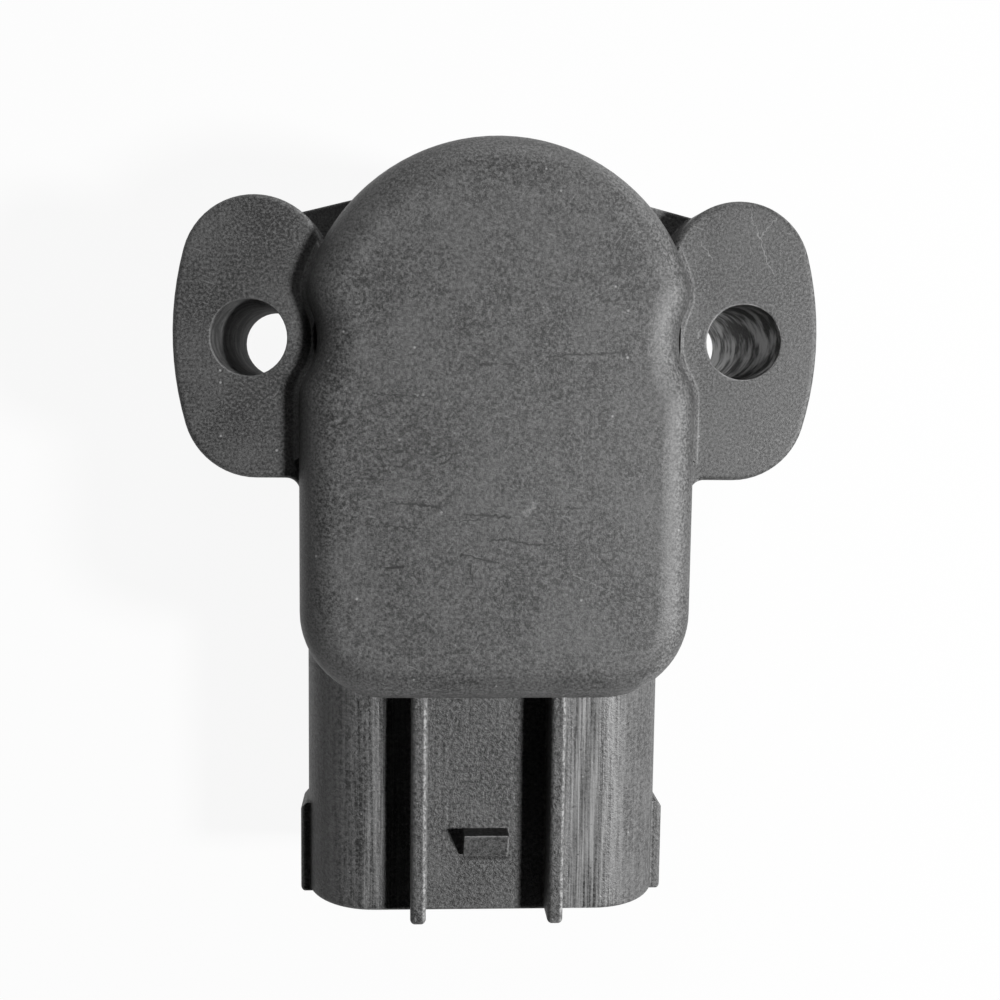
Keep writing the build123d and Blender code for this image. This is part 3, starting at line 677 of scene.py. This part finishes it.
class SENSOR_OT_resistor_board(bpy.types.Operator):
    """Finish the ceramic board and its printed tracks"""

    bl_idname = "sensor.resistor_board"
    bl_label = "Resistor board"

    def execute(self, context):
        colours = context.scene.sensor.inner
        # Fired alumina with screen-printed inks: matt off-white, black carbon arcs and silver leads
        material, tree, shader = start_material("alumina_fired_and_printed")
        place = place_in_millimetres(tree)
        axes = add_node(tree, SPLIT, [place]).node.outputs
        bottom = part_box("resistor_board")[0].z / MM
        ink_height = 0.09
        arcs_from_y = 1.5
        printed = add_node(tree, MATH, [axes["Z"], bottom + ink_height], operation="LESS_THAN")
        on_arcs = add_node(tree, MATH, [axes["Y"], arcs_from_y], operation="GREATER_THAN")
        inputs = {0: on_arcs, MIX_UNDER: colours.silver, MIX_OVER: colours.carbon}
        ink = add_node(tree, MIX, inputs, MIX_RESULT, data_type="RGBA")
        grains_a_millimetre = 3.0
        grain = add_node(tree, NOISE, {"Vector": place, "Scale": grains_a_millimetre, "Detail": 3.0})
        tone = add_up(tree, 0.94, [(grain, 0.12)])
        ceramic = add_node(tree, VECTOR, {0: colours.ceramic[:3], "Scale": tone}, operation="SCALE")
        inputs = {0: printed, MIX_UNDER: ceramic, MIX_OVER: ink}
        colour = add_node(tree, MIX, inputs, MIX_RESULT, data_type="RGBA")
        tree.links.new(colour, shader.inputs["Base Color"])
        tree.links.new(add_up(tree, 0.45, [(grain, 0.2)]), shader.inputs["Roughness"])
        shader.inputs["IOR"].default_value = 1.76
        dress("resistor_board", material)
        return {"FINISHED"}


class SENSOR_OT_terminals(bpy.types.Operator):
    """Finish the three terminals and their solder joints"""

    bl_idname = "sensor.terminals"
    bl_label = "Terminals"

    def execute(self, context):
        colours = context.scene.sensor.inner
        # Tin-plated brass, stamped: pale grey metal, slightly cloudy
        plated = grained_solid(
            "brass_tin_plated", colours.tin, roughness=0.34, grain=0.4, contrast=0.2, relief=0.004
        )
        for node in ("terminal_supply", "terminal_signal", "terminal_ground"):
            dress(node, plated)
        # Solder, set from the melt: bright grey with a dull skin
        dress("solder_joints", grained_solid(
            "solder_set", colours.solder, roughness=0.4, grain=0.3, contrast=0.25, relief=0.01
        ))
        return {"FINISHED"}


class SENSOR_OT_stage(bpy.types.Operator):
    """Set up floor, lamps and camera"""

    bl_idname = "sensor.stage"
    bl_label = "Stage"

    def execute(self, context):
        stage = context.scene.sensor.stage
        self.lay_floor(context, stage, CAD_BOX[0].z)
        for name, shape, place, size, power in (
            ("key_lamp", "DISK", stage.key_place, stage.key_size, stage.key_power),
            ("back_lamp", "SQUARE", stage.back_place, stage.back_size, stage.back_power),
        ):
            self.hang_lamp(context, name, shape, Vector(place), Vector(stage.aim), size, power)
        world = bpy.data.worlds.new("even_fill")
        world.use_nodes = True
        background = world.node_tree.nodes["Background"]
        background.inputs["Color"].default_value = linear("#ffffff")
        background.inputs["Strength"].default_value = stage.fill
        context.scene.world = world
        self.set_camera(context, stage)
        context.scene.view_settings.view_transform = "Standard"
        return {"FINISHED"}

    def lay_floor(self, context, stage, floor_z):
        """Paper floor that curves up into a low wall far from the sensor on every side."""
        sides = 64
        curve_steps = 8
        curve_r = stage.wall_height / 2
        profile = [(stage.floor_reach, 0.0)]
        for step in range(1, curve_steps + 1):
            turn = math.radians(90 * step / curve_steps)
            profile.append((stage.floor_reach + curve_r * math.sin(turn), curve_r * (1 - math.cos(turn))))
        profile.append((stage.floor_reach + curve_r, stage.wall_height))
        points = [(0.0, 0.0, floor_z)]
        for radius, height in profile:
            for side in range(sides):
                turn = 2 * math.pi * side / sides
                points.append((radius * math.cos(turn), radius * math.sin(turn), floor_z + height))
        faces = [(0, 1 + side, 1 + (side + 1) % sides) for side in range(sides)]
        for ring in range(len(profile) - 1):
            first = 1 + ring * sides
            for side in range(sides):
                beside = (side + 1) % sides
                faces.append((first + side, first + sides + side, first + sides + beside, first + beside))
        mesh = bpy.data.meshes.new("paper_floor")
        mesh.from_pydata(points, [], faces)
        mesh.shade_smooth()
        mesh.materials.append(self.studio_paper(stage))
        floor = bpy.data.objects.new("paper_floor", mesh)
        context.collection.objects.link(floor)

    def studio_paper(self, stage):
        """Matt studio paper: white to the camera and in reflections, with part of the true shadow kept."""
        white_share = 0.9
        material, tree, shader = start_material("studio_paper_matt")
        shader.inputs["Base Color"].default_value = stage.floor
        shader.inputs["Roughness"].default_value = 0.9
        rays = add_node(tree, "ShaderNodeLightPath").node.outputs
        kinds = [rays["Is Camera Ray"], rays["Is Glossy Ray"], rays["Is Transmission Ray"]]
        seen = combine(tree, "MULTIPLY", [combine(tree, "MAXIMUM", kinds), white_share])
        white = add_node(tree, "ShaderNodeEmission", {"Color": linear("#ffffff"), "Strength": 1.03})
        paper = add_node(tree, "ShaderNodeMixShader", [seen, shader.outputs["BSDF"], white])
        # From below the paper is clear, so that the mounting side can be looked at
        below = add_node(tree, "ShaderNodeNewGeometry", out="Backfacing")
        clear = add_node(tree, "ShaderNodeBsdfTransparent")
        one_sided = add_node(tree, "ShaderNodeMixShader", [below, paper, clear])
        tree.links.new(one_sided, tree.nodes["Material Output"].inputs["Surface"])
        return material

    def hang_lamp(self, context, name, shape, place, aim, size, power):
        """Area lamp that points at the sensor and isn't seen by the camera."""
        light = bpy.data.lights.new(name, "AREA")
        light.shape = shape
        light.size = size
        light.energy = power
        lamp = bpy.data.objects.new(name, light)
        lamp.location = place
        lamp.rotation_euler = (aim - place).to_track_quat("-Z", "Y").to_euler()
        lamp.visible_camera = False
        context.collection.objects.link(lamp)

    def set_camera(self, context, stage):
        """Camera almost straight above the sensor."""
        data = bpy.data.cameras.new("photo_camera")
        data.lens = stage.lens
        data.sensor_width = 36.0
        data.shift_x, data.shift_y = stage.lens_shift
        data.clip_start = 5 * MM
        data.clip_end = 10.0
        camera = bpy.data.objects.new("photo_camera", data)
        camera.location = stage.camera_place
        camera.rotation_euler = Euler(stage.camera_tilt)
        context.collection.objects.link(camera)
        context.scene.camera = camera


PIECES = (
    SENSOR_OT_housing,
    SENSOR_OT_base_cover,
    SENSOR_OT_mounting_seal,
    SENSOR_OT_rotor,
    SENSOR_OT_return_spring,
    SENSOR_OT_wiper,
    SENSOR_OT_resistor_board,
    SENSOR_OT_terminals,
    SENSOR_OT_stage,
)


class SENSOR_PT_panel(bpy.types.Panel):
    """Lists the sensor's pieces and its stage"""

    bl_label = "Throttle position sensor"
    bl_space_type = "VIEW_3D"
    bl_region_type = "UI"
    bl_category = "Sensor"

    def draw(self, context):
        for piece in PIECES:
            self.layout.operator(piece.bl_idname)
        settings = context.scene.sensor
        for group in (settings.housing, settings.inner, settings.spring, settings.stage):
            box = self.layout.box()
            for name in group.__annotations__:
                box.prop(group, name)


CLASSES = (HousingFinish, InnerFinish, SpringSizes, StageSetup, SensorSettings, *PIECES, SENSOR_PT_panel)


def register():
    """Register the classes and the sensor's settings."""
    for kind in CLASSES:
        bpy.utils.register_class(kind)
    bpy.types.Scene.sensor = PointerProperty(type=SensorSettings)


def unregister():
    """Remove the sensor's settings and the classes."""
    del bpy.types.Scene.sensor
    for kind in reversed(CLASSES):
        bpy.utils.unregister_class(kind)


def main():
    """Register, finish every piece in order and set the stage."""
    register()
    bpy.ops.sensor.housing()
    bpy.ops.sensor.base_cover()
    bpy.ops.sensor.mounting_seal()
    bpy.ops.sensor.rotor()
    bpy.ops.sensor.return_spring()
    bpy.ops.sensor.wiper()
    bpy.ops.sensor.resistor_board()
    bpy.ops.sensor.terminals()
    bpy.ops.sensor.stage()


if __name__ == "__main__":
    main()
